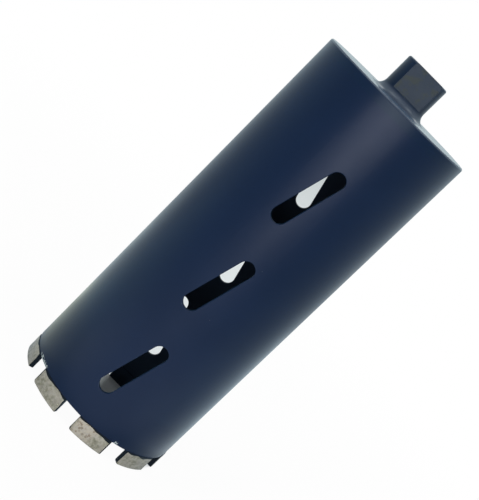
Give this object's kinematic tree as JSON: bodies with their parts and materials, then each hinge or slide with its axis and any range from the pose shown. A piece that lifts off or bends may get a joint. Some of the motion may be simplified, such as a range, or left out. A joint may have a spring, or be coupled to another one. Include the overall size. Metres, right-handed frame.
{
  "type": "diamond core bit",
  "caption": "Dry diamond core bit: slotted steel barrel with a flat end plate, threaded hub and welded cutting segments.",
  "frame": {"origin": "on the bit's axis, at the level of the segments' cutting faces, so the bit stands on the floor", "axes": "+Z along the axis from the cutting faces to the hub; -Y is the front, where the first row of slots and the first wrench flat are"},
  "size_m": [0.1013, 0.1016, 0.2709],
  "materials": {
    "barrel_paint": "satin dark navy paint over steel",
    "cap_paint": "satin dark navy paint over steel",
    "segment_metal": "ground sintered metal with diamond grit"
  },
  "bodies": {
    "root": {"barrel": "barrel_paint", "end_cap": "cap_paint", "segment_1": "segment_metal", "segment_2": "segment_metal", "segment_3": "segment_metal", "segment_4": "segment_metal", "segment_5": "segment_metal", "segment_6": "segment_metal", "segment_7": "segment_metal", "segment_8": "segment_metal", "segment_9": "segment_metal"}
  },
  "joints": []
}
